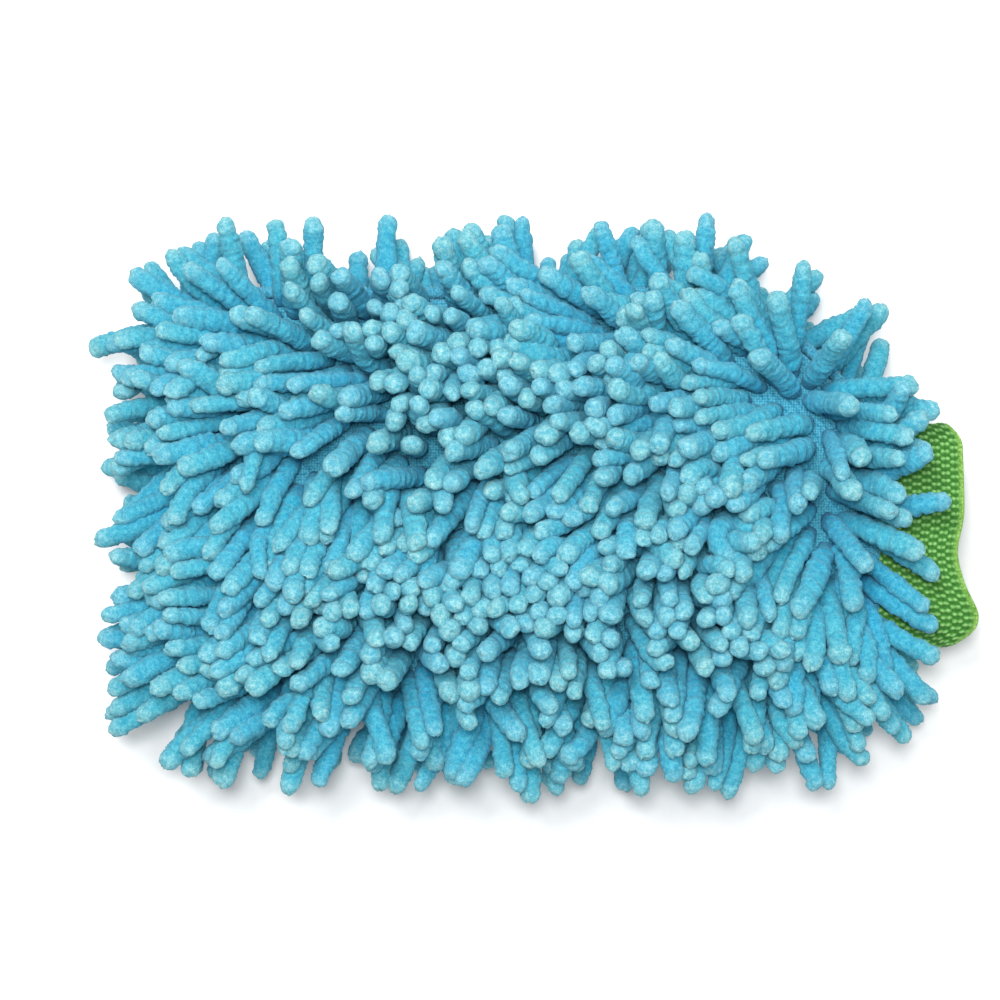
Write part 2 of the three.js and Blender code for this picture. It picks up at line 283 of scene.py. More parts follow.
def corner_inset(x):
    """How far a rounded fingertip corner turns in at x."""
    across = np.clip(FINGERTIP_X + CORNER_RADIUS - x, 0, CORNER_RADIUS)
    return CORNER_RADIUS - np.sqrt(CORNER_RADIUS**2 - across**2)


def taper(x, start):
    """From 0 where a side starts to turn in, to 1 at the mouth."""
    return np.clip((x - start) / (MOUTH_X - start), 0, 1) ** TAPER_POWER


def upper_side(x):
    """Y of the seam on the upper side at x."""
    return UPPER_Y - corner_inset(x) + (MOUTH_UPPER_Y - UPPER_Y) * taper(x, UPPER_TAPER_X)


def lower_side(x):
    """Y of the seam on the lower side at x."""
    return LOWER_Y + corner_inset(x) + (MOUTH_LOWER_Y - LOWER_Y) * taper(x, LOWER_TAPER_X)


def rounding(distance, width):
    """0 at an edge, rising smoothly to 1 at `width` from it."""
    return np.sin(np.pi / 2 * np.clip(distance / width, 0, 1))


def pocket_rise(x, y):
    """How far a panel stands from the seam plane."""
    sideways = np.minimum(upper_side(x) - y, y - lower_side(x))
    narrowing = np.clip((x - MOUTH_NARROWS_X) / (MOUTH_X - MOUTH_NARROWS_X), 0, 1)
    full = POCKET_RISE + (MOUTH_RISE - POCKET_RISE) * narrowing
    return full * rounding(sideways, POCKET_ROUNDING) * rounding(x - FINGERTIP_X, POCKET_ROUNDING)


def inside_seam(x, y):
    """Distance inside the sewn outline, negative outside it."""
    sideways = np.minimum(upper_side(x) - y, y - lower_side(x))
    return np.minimum(sideways, np.minimum(x - FINGERTIP_X, MOUTH_X - x))


def body_height(x, y):
    """Distance from the seam plane to the outside of the panels or the cuff; 0 beside them."""
    panel = np.clip(inside_seam(x, y) / EDGE_BLEND, 0, 1) * (CLOTH_OUTER + pocket_rise(x, y))
    across = np.clip((y - CUFF_Y) / CUFF_HALF_WIDTH, -1, 1)
    beyond = np.clip((x - MOUTH_X + EDGE_BLEND) / EDGE_BLEND, 0, 1)
    beyond = beyond * np.clip((CUFF_BOX[1].x - x) / EDGE_BLEND, 0, 1)
    cuff = beyond * CUFF_HALF_HEIGHT * np.sqrt(1 - across**2)
    return np.maximum(panel, cuff)


# ---------------------------------------- mesh helpers


def new_piece(name, points, quads, triangles, material, attributes=None):
    """A smooth-shaded mesh object from millimetre points, with values stored on its points."""
    quads = np.asarray(quads, int).reshape(-1, 4)
    triangles = np.asarray(triangles, int).reshape(-1, 3)
    corners = np.concatenate([quads.ravel(), triangles.ravel()])
    starts = np.concatenate([
        np.arange(len(quads)) * 4,
        quads.size + np.arange(len(triangles)) * 3,
    ])
    mesh = bpy.data.meshes.new(name)
    mesh.vertices.add(len(points))
    mesh.vertices.foreach_set("co", (np.asarray(points) * MM).astype(np.float32).ravel())
    mesh.loops.add(len(corners))
    mesh.loops.foreach_set("vertex_index", corners.astype(np.int32))
    mesh.polygons.add(len(starts))
    mesh.polygons.foreach_set("loop_start", starts.astype(np.int32))
    mesh.polygons.foreach_set("use_smooth", np.ones(len(starts), bool))
    mesh.update(calc_edges=True)
    for key, values in (attributes or {}).items():
        layer = mesh.attributes.new(key, "FLOAT", "POINT")
        layer.data.foreach_set("value", np.asarray(values, np.float32).ravel())
    mesh.materials.append(material)
    piece = bpy.data.objects.new(name, mesh)
    bpy.context.scene.collection.objects.link(piece)
    return piece


def face_outwards(piece):
    """Turns every face of a closed body outwards."""
    body = bmesh.new()
    body.from_mesh(piece.data)
    bmesh.ops.recalc_face_normals(body, faces=body.faces)
    body.to_mesh(piece.data)
    body.free()
    return piece


def grid_quads(rows, columns, wrap_rows=False, wrap_columns=False):
    """Quads over a grid of points stored row by row; a wrapped way closes on itself."""
    i = np.arange(rows if wrap_rows else rows - 1)[:, None]
    j = np.arange(columns if wrap_columns else columns - 1)[None, :]
    next_i = (i + 1) % rows
    next_j = (j + 1) % columns
    corners = [
        i * columns + j,
        i * columns + next_j,
        next_i * columns + next_j,
        next_i * columns + j,
    ]
    return np.stack([c + np.zeros_like(i + j) for c in corners], axis=-1).reshape(-1, 4)


def end_fans(rings, around):
    """Triangles that close both ends of a tube, whose two middles are stored after its rings."""
    j = np.arange(around)
    after = (j + 1) % around
    last = (rings - 1) * around
    start_middle = np.full(around, rings * around)
    start = np.stack([start_middle, after, j], axis=1)
    end = np.stack([start_middle + 1, last + j, last + after], axis=1)
    return np.concatenate([start, end])


def unit(vectors):
    return vectors / np.maximum(np.linalg.norm(vectors, axis=-1, keepdims=True), 1e-9)


def evenly(path, spacing):
    """The same path with its points about `spacing` apart."""
    steps = np.linalg.norm(np.diff(path, axis=0), axis=1)
    travelled = np.concatenate([[0], np.cumsum(steps)])
    count = int(round(travelled[-1] / spacing)) + 1
    wanted = np.linspace(0, travelled[-1], count)
    return np.stack([np.interp(wanted, travelled, path[:, axis]) for axis in range(3)], axis=1)


def curve_weights(knots, stations):
    """Catmull-Rom weights: a matrix that turns `knots` points into points at the stations."""
    weights = np.zeros((len(stations), knots))
    for row, station in enumerate(stations):
        k = min(int(station), knots - 2)
        t = station - k
        basis = [
            (-t + 2 * t**2 - t**3) / 2,
            (2 - 5 * t**2 + 3 * t**3) / 2,
            (t + 4 * t**2 - 3 * t**3) / 2,
            (-(t**2) + t**3) / 2,
        ]
        for offset, value in zip((-1, 0, 1, 2), basis):
            spot = k + offset
            if spot < 0:  # the missing knot mirrors its neighbour through the end
                weights[row, 0] += 2 * value
                weights[row, 1] -= value
            elif spot >= knots:
                weights[row, knots - 1] += 2 * value
                weights[row, knots - 2] -= value
            else:
                weights[row, spot] += value
    return weights


def carried_frames(centres):
    """Two cross directions along each centreline, carried along it without twist."""
    tangents = unit(np.gradient(centres, axis=1))
    side = np.zeros_like(tangents)
    side[:, 0] = unit(np.cross(tangents[:, 0], [0.31, 0.17, 0.93]))
    for ring in range(1, centres.shape[1]):
        t = tangents[:, ring]
        kept = side[:, ring - 1]
        side[:, ring] = unit(kept - (kept * t).sum(-1, keepdims=True) * t)
    return side, np.cross(tangents, side)


def tube(name, path, radii, around, material):
    """A closed tube along a path, its radius given at each point of the path."""
    side, other = carried_frames(path[None])
    turn = np.arange(around) * 2 * np.pi / around
    outward = np.cos(turn)[:, None] * side[0][:, None] + np.sin(turn)[:, None] * other[0][:, None]
    rings = path[:, None] + np.asarray(radii).reshape(-1, 1, 1) * outward
    points = np.concatenate([rings.reshape(-1, 3), path[:1], path[-1:]])
    quads = grid_quads(len(path), around, wrap_columns=True)
    return new_piece(name, points, quads, end_fans(len(path), around), material)


# ---------------------------------------- the pile's shape


def plan_roots(rng):
    """Where each finger is sewn: row by row, in two staggered lines."""
    roots = {"x": [], "y": [], "up": [], "row": []}
    rows = []
    for side_name, up in (("back", 1), ("palm", -1)):
        for half_name, away, end_x in (("finger", -1, FINGERTIP_X), ("hand", 1, MOUTH_X - MOUTH_MARGIN)):
            pitch = abs(end_x - KNUCKLE_X) / ROWS_PER_HALF
            for number in range(1, ROWS_PER_HALF + 1):
                middle = KNUCKLE_X + away * (number - 0.5) * pitch
                low = lower_side(middle) + ROOT_MARGIN
                high = upper_side(middle) - ROOT_MARGIN
                spacing = FINGER_SPACING[side_name]
                if number == ROWS_PER_HALF:
                    spacing *= END_CROWDING
                count = int(round((high - low) / spacing))
                steps = np.arange(count)
                share = (steps + 0.5) / count
                share -= EDGE_CROWDING * np.sin(2 * np.pi * share) / (2 * np.pi)
                stagger = np.where(steps % 2 == 0, 1, -1) * pitch / 4
                jitter = rng.normal(0, ROOT_JITTER, (2, count))
                roots["x"].append(middle + stagger + jitter[0])
                roots["y"].append(low + share * (high - low) + jitter[1])
                roots["up"].append(np.full(count, up))
                roots["row"].append(np.full(count, len(rows)))
                rows.append((side_name, half_name, number))
    return {key: np.concatenate(value) for key, value in roots.items()}, rows


def lay_at(x, y):
    """Heading of the back's pile, as long as its lean, blended between the noted places."""
    noted = np.array(LAY_OF_THE_PILE, float)
    heading = np.radians(noted[:, 2])
    lay = noted[:, 3:4] * np.stack([np.cos(heading), np.sin(heading)], axis=1)
    sewn = noted[:, :2] - LAY_SHOWS_AHEAD * lay
    reach = (x[:, None] - sewn[:, 0]) ** 2 + (y[:, None] - sewn[:, 1]) ** 2
    weight = (reach + LAY_BLEND**2) ** -LAY_FALLOFF
    return (weight @ lay) / weight.sum(1, keepdims=True)


def fan_out(x, y):
    """Heading of the palm's pile: outwards, more so towards the edges."""
    away = np.stack([x - PALM_MIDDLE[0], y - PALM_MIDDLE[1]], axis=1) / PALM_FAN
    length = np.maximum(np.linalg.norm(away, axis=1, keepdims=True), 1e-6)
    return PALM_LEAN * away * np.minimum(1, 1 / length)


def first_lay(roots, rng):
    """Each finger's chain of knots before it settles: up from the cloth, then over to its lay."""
    x, y, up = roots["x"], roots["y"], roots["up"]
    count = len(x)
    back = up > 0
    lay = np.where(back[:, None], lay_at(x, y), fan_out(x, y))
    lean = np.clip(np.linalg.norm(lay, axis=1) + rng.normal(0, LEAN_JITTER, count), *LEAN_RANGE)
    scatter = np.where(back, FLAT_SCATTER + UPRIGHT_SCATTER * (1 - lean), PALM_SCATTER)
    heading = np.arctan2(lay[:, 1], lay[:, 0]) + rng.normal(0, 1, count) * np.radians(scatter)
    curl = rng.normal(0, math.radians(CURL), count)

    nearby = 0.5
    rise = pocket_rise(x, y)
    slope_x = (pocket_rise(x + nearby, y) - rise) / nearby
    slope_y = (pocket_rise(x, y + nearby) - rise) / nearby
    normal = unit(np.stack([-slope_x, -slope_y, np.ones(count)], axis=1))
    root = np.stack([x, y, SEAM_Z + up * (CLOTH_OUTER + rise - ROOT_DEPTH)], axis=1)

    length = FINGER_LENGTH * rng.uniform(*LENGTH_SPREAD, count)
    step = (length - FINGER_RADIUS) / (CHAIN_KNOTS - 1)
    edge = np.clip(1 - inside_seam(x, y) / EDGE_WIDTH, 0, 1)
    chain = np.zeros((count, CHAIN_KNOTS, 3))
    chain[:, 0] = root
    start_tilt = np.radians(90 - (START_TILT + EDGE_TILT * edge) * lean)
    end_tilt = np.radians(90 * (1 - lean) - EDGE_DROOP * edge * lean)
    for knot in range(1, CHAIN_KNOTS):
        along = (knot - 0.5) / (CHAIN_KNOTS - 1)
        over = min(along / LEANS_BY, 1)
        tilt = start_tilt + (end_tilt - start_tilt) * over
        turn = heading + curl * along
        direction = np.stack(
            [np.cos(tilt) * np.cos(turn), np.cos(tilt) * np.sin(turn), np.sin(tilt)], axis=1
        )
        direction = unit(direction + STAND_OFF * (1 - along) ** 2 * normal)
        direction[:, 2] *= up
        chain[:, knot] = chain[:, knot - 1] + direction * step[:, None]
    return chain, step


def near_pairs(points, finger, reach):
    """Pairs of knots of different fingers that are closer than `reach`."""
    tree = kdtree.KDTree(len(points))
    for index, point in enumerate(points):
        tree.insert(point, index)
    tree.balance()
    first, second = [], []
    for index, point in enumerate(points):
        for _, other, _ in tree.find_range(point, reach):
            if other > index and finger[other] != finger[index]:
                first.append(index)
                second.append(other)
    return np.array(first, int), np.array(second, int)


def push_apart(points, pairs, radii, share):
    """Moves overlapping knots apart along the line between them."""
    first, second = pairs
    gap = points[second] - points[first]
    distance = np.maximum(np.linalg.norm(gap, axis=1), 1e-6)
    overlap = np.maximum(radii[first] + radii[second] - distance, 0)
    push = gap * (share * overlap / distance)[:, None]
    for axis in range(3):
        points[:, axis] += np.bincount(second, push[:, axis], len(points))
        points[:, axis] -= np.bincount(first, push[:, axis], len(points))


def keep_clear(points, up, radii):
    """Keeps the knots above the floor and outside the mitt's own panels and cuff."""
    x, y, z = points.T
    surface = body_height(x, y)
    covered = surface > COVERED_HEIGHT
    height = np.maximum((z - SEAM_Z) * up, surface + radii * SKIN_SHARE)
    points[:, 2] = np.where(covered, SEAM_Z + up * height, z)
    np.maximum(points[:, 2], radii, out=points[:, 2])


def settle(chain, step, up):
    """Relaxes all the fingers together: gravity, the wish to keep their lay, their stiffness and
    length, and pushes apart near knots, which are also kept off the floor and the mitt. It looks
    at the knots alone, so fingers can still sink into each other between them."""
    count, knots, _ = chain.shape
    wished = chain.copy()
    finger = np.repeat(np.arange(count), knots)
    knot_up = np.repeat(up, knots).astype(float)
    swelling = np.ones(knots)
    swelling[: len(SEWN_END_RADII)] = SEWN_END_RADII
    radii = np.tile(SQUEEZED_RADIUS * swelling, (count, 1))
    radii[up < 0] *= PALM_SQUEEZE
    radii = radii.ravel()
    for turn in range(SETTLING_ROUNDS):
        calm = 1 - turn / SETTLING_ROUNDS
        chain[:, 1:] += (PULL_TO_LAY * calm + LASTING_PULL) * (wished - chain)[:, 1:]
        chain[:, 1:, 2] -= GRAVITY * (LASTING_GRAVITY + FADING_GRAVITY * calm)
        middle = (chain[:, :-2] + chain[:, 2:]) / 2
        chain[:, 1:-1] += STIFFNESS * (middle - chain[:, 1:-1])
        flat = chain.reshape(-1, 3)
        if turn % PAIR_ROUNDS == 0:
            pairs = near_pairs(flat, finger, 2 * SQUEEZED_RADIUS + PAIR_MARGIN)
        push_apart(flat, pairs, radii, PUSH_SHARE)
        keep_clear(flat, knot_up, radii)
        chain[:, 0] = wished[:, 0]
        for knot in range(knots - 1):
            link = chain[:, knot + 1] - chain[:, knot]
            length = np.maximum(np.linalg.norm(link, axis=1), 1e-6)
            error = link * ((length - step) / length)[:, None]
            share = 0.0 if knot == 0 else LINK_SHARE
            chain[:, knot] += share * error
            chain[:, knot + 1] -= (1 - share) * error
    return chain


def skin_noise(rng, shape, along_passes, around_passes):
    """Random relief over each finger's skin, smoothed along and around it, of unit strength."""
    field = rng.normal(0, 1, shape)
    for _ in range(along_passes):
        padded = np.concatenate([field[:, :1], field, field[:, -1:]], axis=1)
        field = (padded[:, :-2] + 2 * field + padded[:, 2:]) / 4
    for _ in range(around_passes):
        field = (np.roll(field, 1, axis=2) + 2 * field + np.roll(field, -1, axis=2)) / 4
    return field / field.std()


def finger_rings(chain, detail, rng):
    """Ring points of each finger: a fuzzy, lumpy tube with a round tip."""
    count, knots, _ = chain.shape
    body, around = detail
    rings = body + len(TIP_ANGLES)
    centres = np.einsum("rk,fkc->frc", curve_weights(knots, np.linspace(0, knots - 1, body)), chain)
    side, other = carried_frames(centres)
    ahead = np.cross(side[:, -1], other[:, -1])
    closing = np.concatenate([np.zeros(body), TIP_ANGLES])
    centres = np.concatenate([centres, np.repeat(centres[:, -1:], len(TIP_ANGLES), axis=1)], axis=1)
    side = np.concatenate([side, np.repeat(side[:, -1:], len(TIP_ANGLES), axis=1)], axis=1)
    other = np.concatenate([other, np.repeat(other[:, -1:], len(TIP_ANGLES), axis=1)], axis=1)

    turn = np.arange(around) * 2 * np.pi / around
    along = np.minimum(np.arange(rings) / body, 1)
    shape = (count, rings, around)
    relief = (
        TUFTS * skin_noise(rng, shape, 2, 1)
        + RIDGES * skin_noise(rng, shape, 1, 8)
        + LUMPS * skin_noise(rng, shape, 14, 4)
        + FUZZ * skin_noise(rng, shape, 0, 0)
    )
    phase = rng.uniform(0, 2 * np.pi, (count, 1))
    waves = rng.uniform(*SWELL_WAVES, (count, 1))
    swell = 1 + SWELL * np.sin(waves * along[None] + phase)
    sewn_end = SEWN_END + (1 - SEWN_END) * np.clip(along / SEWN_END_LENGTH, 0, 1) ** 0.7
    towards_tip = np.clip((along - NARROWS_FROM) / NARROWS_OVER, 0, 1) ** 1.5
    narrowing = 1 - rng.uniform(*NARROWING, (count, 1)) * towards_tip
    thickness = FINGER_RADIUS * rng.uniform(*THICKNESS_SPREAD, (count, 1))
    radius = thickness * swell * sewn_end * narrowing
    flattened = rng.uniform(*FLATTENED, (count, 1)) * np.cos(2 * (turn + phase))
    reach = radius[:, :, None] * (1 + relief + flattened[:, None])
    point = rng.uniform(*TIP_REACH, (count, 1, 1, 1))
    outward = (
        np.cos(turn)[None, None, :, None] * side[:, :, None]
        + np.sin(turn)[None, None, :, None] * other[:, :, None]
    )
    outward = np.cos(closing)[None, :, None, None] * outward
    outward = outward + np.sin(closing)[None, :, None, None] * ahead[:, None, None] * point
    points = centres[:, :, None] + reach[..., None] * outward
    pole = centres[:, -1] + ahead * reach[:, -1].mean(1)[:, None] * point[:, 0, 0]
    packed = np.concatenate(
        [points.reshape(count, -1, 3), centres[:, :1], pole[:, None]], axis=1
    )
    packed[..., 2] = np.maximum(packed[..., 2], FLOOR_GAP)  # flat where it lies on the floor
    return packed


def build_rows(chenille):
    """Every row of chenille as one piece."""
    rng = np.random.default_rng(SEED)
    roots, rows = plan_roots(rng)
    chain, step = first_lay(roots, rng)
    chain = settle(chain, step, roots["up"])
    for index, (side_name, half_name, number) in enumerate(rows):
        chosen = np.flatnonzero(roots["row"] == index)
        detail = DETAIL[side_name]
        points = finger_rings(chain[chosen], detail, rng)
        around = detail[1]
        rings = detail[0] + len(TIP_ANGLES)
        quads = grid_quads(rings, around, wrap_columns=True)
        fans = end_fans(rings, around)
        shift = (np.arange(len(chosen)) * points.shape[1])[:, None, None]
        along = np.concatenate([np.repeat(np.arange(rings) / (rings - 1), around), [0, 1]])
        tint = rng.uniform(0, 1, len(chosen))
        piece = new_piece(
            f"{side_name}_{half_name}_fingers_{number:02d}",
            points.reshape(-1, 3),
            quads[None] + shift,
            fans[None] + shift,
            chenille,
            {"along": np.tile(along, len(chosen)), "tint": np.repeat(tint, points.shape[1])},
        )
        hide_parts(f"{side_name}_{half_name}_chenille_row_{number:02d}")
        attach_row(piece, half_name, number, points[..., 0])


def attach_row(piece, half_name, number, x):
    """Rides a row on its half; a row near the knuckles, or among the last rows over the cuff, is left
    unattached and fixed where it lies.
    """
    if half_name == "hand" and number > ROWS_PER_HALF - ROWS_OVER_CUFF:
        bend_at_cuff(piece)
    elif x.min() < KNUCKLE_X + KNUCKLE_REACH and x.max() > KNUCKLE_X - KNUCKLE_REACH:
        bend_at_knuckles(piece)
    else:
        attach(piece, f"{half_name}_half")


def bend_at_knuckles(piece):
    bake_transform(piece)


def bend_at_cuff(piece):
    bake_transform(piece)


# ---------------------------------------- base cloths and linings


def panel_stations(spacing):
    """X stations along a panel, closer together around the fingertip corners."""
    corner_steps = int(CORNER_RADIUS * 1.6 / spacing)
    angle = np.linspace(0, np.pi / 2, corner_steps, endpoint=False)
    corner = FINGERTIP_X + CORNER_RADIUS * (1 - np.cos(angle))
    straight = FINGERTIP_X + CORNER_RADIUS
    return np.concatenate([
        corner, np.linspace(straight, MOUTH_X, int((MOUTH_X - straight) / spacing)),
    ])


def panel(name, up, inner, outer, spacing, material):
    """One panel as a closed thin body: an inner and an outer skin joined around the rim."""
    x = panel_stations(spacing)
    across = int((UPPER_Y - LOWER_Y) / spacing)
    share = np.linspace(0, 1, across)
    low, high = lower_side(x), upper_side(x)
    grid_x = np.repeat(x[:, None], across, axis=1)
    grid_y = low[:, None] + share[None] * (high - low)[:, None]
    rise = pocket_rise(grid_x, grid_y)
    skins = [
        np.stack([grid_x, grid_y, SEAM_Z + up * (layer + rise)], axis=-1).reshape(-1, 3)
        for layer in (inner, outer)
    ]
    size = len(x) * across
    spots = np.arange(size).reshape(len(x), across)
    rim = np.concatenate([spots[0, :-1], spots[:-1, -1], spots[-1, :0:-1], spots[:0:-1, 0]])
    after = np.roll(rim, -1)
    skin = grid_quads(len(x), across)
    quads = np.concatenate([
        skin, skin[:, ::-1] + size, np.stack([rim, after, after + size, rim + size], axis=1),
    ])
    piece = face_outwards(new_piece(name, np.concatenate(skins), quads, [], material))
    bend_at_knuckles(piece)
    return piece


def build_panels():
    """The two base cloths that carry the pile, and the two linings."""
    knit = knit_material()
    soft = lining_material()
    for side_name, up in (("back", 1), ("palm", -1)):
        cloth = panel(f"{side_name}_base_cloth", up, CLOTH_INNER, CLOTH_OUTER, 0.9, knit)
        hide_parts(f"{side_name}_cloth_finger", f"{side_name}_cloth_hand")
        lining = panel(f"{side_name}_lining", up, LINING_INNER, LINING_OUTER, 1.5, soft)
        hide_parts(f"{side_name}_lining_finger", f"{side_name}_lining_hand")


# ---------------------------------------- seams


def seam_path(outside, spacing):
    """The sewn outline from the mouth round the fingertips and back, moved outwards."""
    x = panel_stations(1.0)
    upper = np.stack([x[::-1], upper_side(x[::-1]), np.full(len(x), SEAM_Z)], axis=1)
    lower = np.stack([x, lower_side(x), np.full(len(x), SEAM_Z)], axis=1)
    path = evenly(np.concatenate([upper, lower]), spacing)
    ahead = unit(np.gradient(path, axis=0))
    return path + outside * np.stack([ahead[:, 1], -ahead[:, 0], np.zeros(len(path))], axis=1)


def coil(path, radius, pitch):
    """A thread's path wound around another path; its points keep that path's spacing."""
    side, other = carried_frames(path[None])
    steps = np.linalg.norm(np.diff(path, axis=0), axis=1)
    turn = 2 * np.pi * np.concatenate([[0], np.cumsum(steps)]) / pitch
    return path + radius * (np.cos(turn)[:, None] * side[0] + np.sin(turn)[:, None] * other[0])


def build_side_seam():
    """The overlocked edge that joins the panels, and the thread wound over it."""
    path = seam_path(SEAM_BEAD_OUTSIDE, 0.5)
    lumps = 1 + 0.06 * np.sin(np.arange(len(path)) * 0.5 * 2 * np.pi / OVERLOCK_PITCH)
    bead = tube("overlocked_edge", path, SEAM_BEAD_RADIUS * 0.9 * lumps, 12, knit_edge_material())
    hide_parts("fingertip_seam", "upper_side_seam", "lower_side_seam")
    wound = coil(seam_path(SEAM_BEAD_OUTSIDE, 0.16), SEAM_BEAD_RADIUS * 0.95, OVERLOCK_PITCH)
    thread = tube("overlock_thread", wound, np.full(len(wound), THREAD_RADIUS), 5, BLUE_THREAD)
    for piece in (bead, thread):
        bend_at_knuckles(piece)


def oval_ring(x, out, share):
    """Points around the cuff's oval, `out` from its mid-line, at shares of the way round."""
    angle = np.linspace(0, 2 * np.pi, OVAL_POINTS)
    half_width = CUFF_HALF_WIDTH - CUFF_THICKNESS / 2
    half_height = CUFF_HALF_HEIGHT - CUFF_THICKNESS / 2
    y, z = half_width * np.cos(angle), half_height * np.sin(angle)
    travelled = np.concatenate([[0], np.cumsum(np.hypot(np.diff(y), np.diff(z)))])
    spot = np.interp(np.mod(share, 1) * travelled[-1], travelled, angle)
    normal = unit(np.stack([np.cos(spot) / half_width, np.sin(spot) / half_height], axis=-1))
    return np.stack(
        [
            x + 0 * spot,
            CUFF_Y + half_width * np.cos(spot) + out * normal[..., 0],
            SEAM_Z + half_height * np.sin(spot) + out * normal[..., 1],
        ],
        axis=-1,
    )


def zigzag_swing(stitches, share):
    """Sideways swing of a zigzag with that many stitches, from -1 to 1, at shares of its length."""
    return np.arcsin(np.sin(2 * np.pi * stitches * share)) * 2 / np.pi


def build_cuff_joining_seam():
    """The bound seam between the mouth and the elastic, and its zigzag stitches."""
    around = 360
    angle = np.linspace(0, 2 * np.pi, 14, endpoint=False)
    middle_x = (RING_BOX[0].x + RING_BOX[1].x) / 2
    share = np.arange(around) / around
    puckers = 1 + PUCKER * np.sin(2 * np.pi * MOUTH_STITCHES * share)
    rings = []
    for a in angle:
        lift = BINDING_LIFT + BINDING_HALF_THICKNESS * math.sin(a) * puckers
        rings.append(oval_ring(middle_x + BINDING_HALF_WIDTH * math.cos(a), lift, share))
    quads = grid_quads(len(angle), around, wrap_rows=True, wrap_columns=True)
    binding = face_outwards(
        new_piece("mouth_binding", np.array(rings).reshape(-1, 3), quads, [], knit_edge_material())
    )
    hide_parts("cuff_joining_seam")
    share = np.linspace(0, 1, MOUTH_STITCHES * 16)
    swing = zigzag_swing(MOUTH_STITCHES, share)
    on_binding = 1.35 - 0.25 * np.abs(swing)
    zigzag = oval_ring(middle_x + MOUTH_STITCH_WIDTH * swing, on_binding, share)
    thread = tube("mouth_stitches", zigzag, np.full(len(zigzag), THREAD_RADIUS), 5, BLUE_THREAD)
    for piece in (binding, thread):
        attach(piece, "hand_half")


# ---------------------------------------- the elastic cuff


def cuff_edge(y):
    """X of the cuff's free edge: nearly straight, with a dip, then a bulge where it flares."""
    across = np.abs(y - CUFF_Y) / CUFF_HALF_WIDTH
    corner = np.clip((across - 0.8) / 0.2, 0, 1) ** 2
    dip = np.exp(-(((y - CUFF_DIP_Y) / CUFF_EDGE_SPREAD) ** 2))
    bulge = np.exp(-(((y - CUFF_BULGE_Y) / CUFF_EDGE_SPREAD) ** 2))
    return CUFF_EDGE_X - CUFF_DIP * dip + CUFF_BULGE * bulge - CUFF_CORNER_DROP * corner


def weave(along, share):
    """Strength of the weave's raised dashes: short floats along the cuff, in offset columns."""
    column = along / DASH_PITCH
    nearest = np.round(column)
    rows = share * DASH_ROWS + 0.5 * np.mod(np.floor(nearest / 2), 2)
    off_row = (rows - np.round(rows)) / DASH_HALF_ROW
    off_column = (column - nearest) / DASH_HALF_COLUMN
    return np.clip(1 - off_row**2 - off_column**2, 0, 1) ** 0.5


def build_cuff():
    """The woven elastic band: an outer and an inner woven skin and a rolled selvedge."""
    share = np.arange(CUFF_AROUND) / CUFF_AROUND
    length = np.linspace(0, 1, int(CUFF_WOVEN / CUFF_STEP))
    wrap = np.radians(np.linspace(SELVEDGE_WRAP, -SELVEDGE_WRAP, 11))
    profile = [(s, CUFF_THICKNESS / 2, 0.0, 0.0) for s in length]
    profile += [
        (1.0, SELVEDGE_RADIUS * math.sin(a), SELVEDGE_RADIUS * math.cos(a), 1.0) for a in wrap
    ]
    profile += [(s, -CUFF_THICKNESS / 2, 0.0, 0.0) for s in length[::-1]]
    points, dashes, selvedge = [], [], []
    for part, out, over, rolled in profile:
        y = oval_ring(0, 0, share)[:, 1]
        edge = cuff_edge(y)
        x = CUFF_START_X + part * (edge - CUFF_START_X) + over
        plain = max(rolled, np.clip((part * CUFF_WOVEN - CUFF_WOVEN + 1.3) / 1.1, 0, 1))
        dash = weave(part * CUFF_WOVEN, share) * (1 - plain)
        ribs = SELVEDGE_RIB * np.sin(2 * np.pi * share * DASH_ROWS * 2)
        ruffle = CUFF_RUFFLE * part**2 * np.sin(2 * np.pi * CUFF_RUFFLES * share + 1.2)
        relief = DASH_HEIGHT * dash + plain * ribs
        facing = 1 if out >= 0 else -1
        points.append(oval_ring(x, out + facing * relief + ruffle, share))
        dashes.append(dash)
        selvedge.append(np.full(CUFF_AROUND, plain))
    quads = grid_quads(len(profile), CUFF_AROUND, wrap_rows=True, wrap_columns=True)
    piece = new_piece(
        "elastic_cuff_band",
        np.array(points).reshape(-1, 3),
        quads,
        [],
        elastic_material(),
        {"dash": np.array(dashes), "selvedge": np.array(selvedge)},
    )
    face_outwards(piece)
    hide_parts("elastic_cuff")
    bend_at_cuff_join(piece)


def bend_at_cuff_join(piece):
    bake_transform(piece)


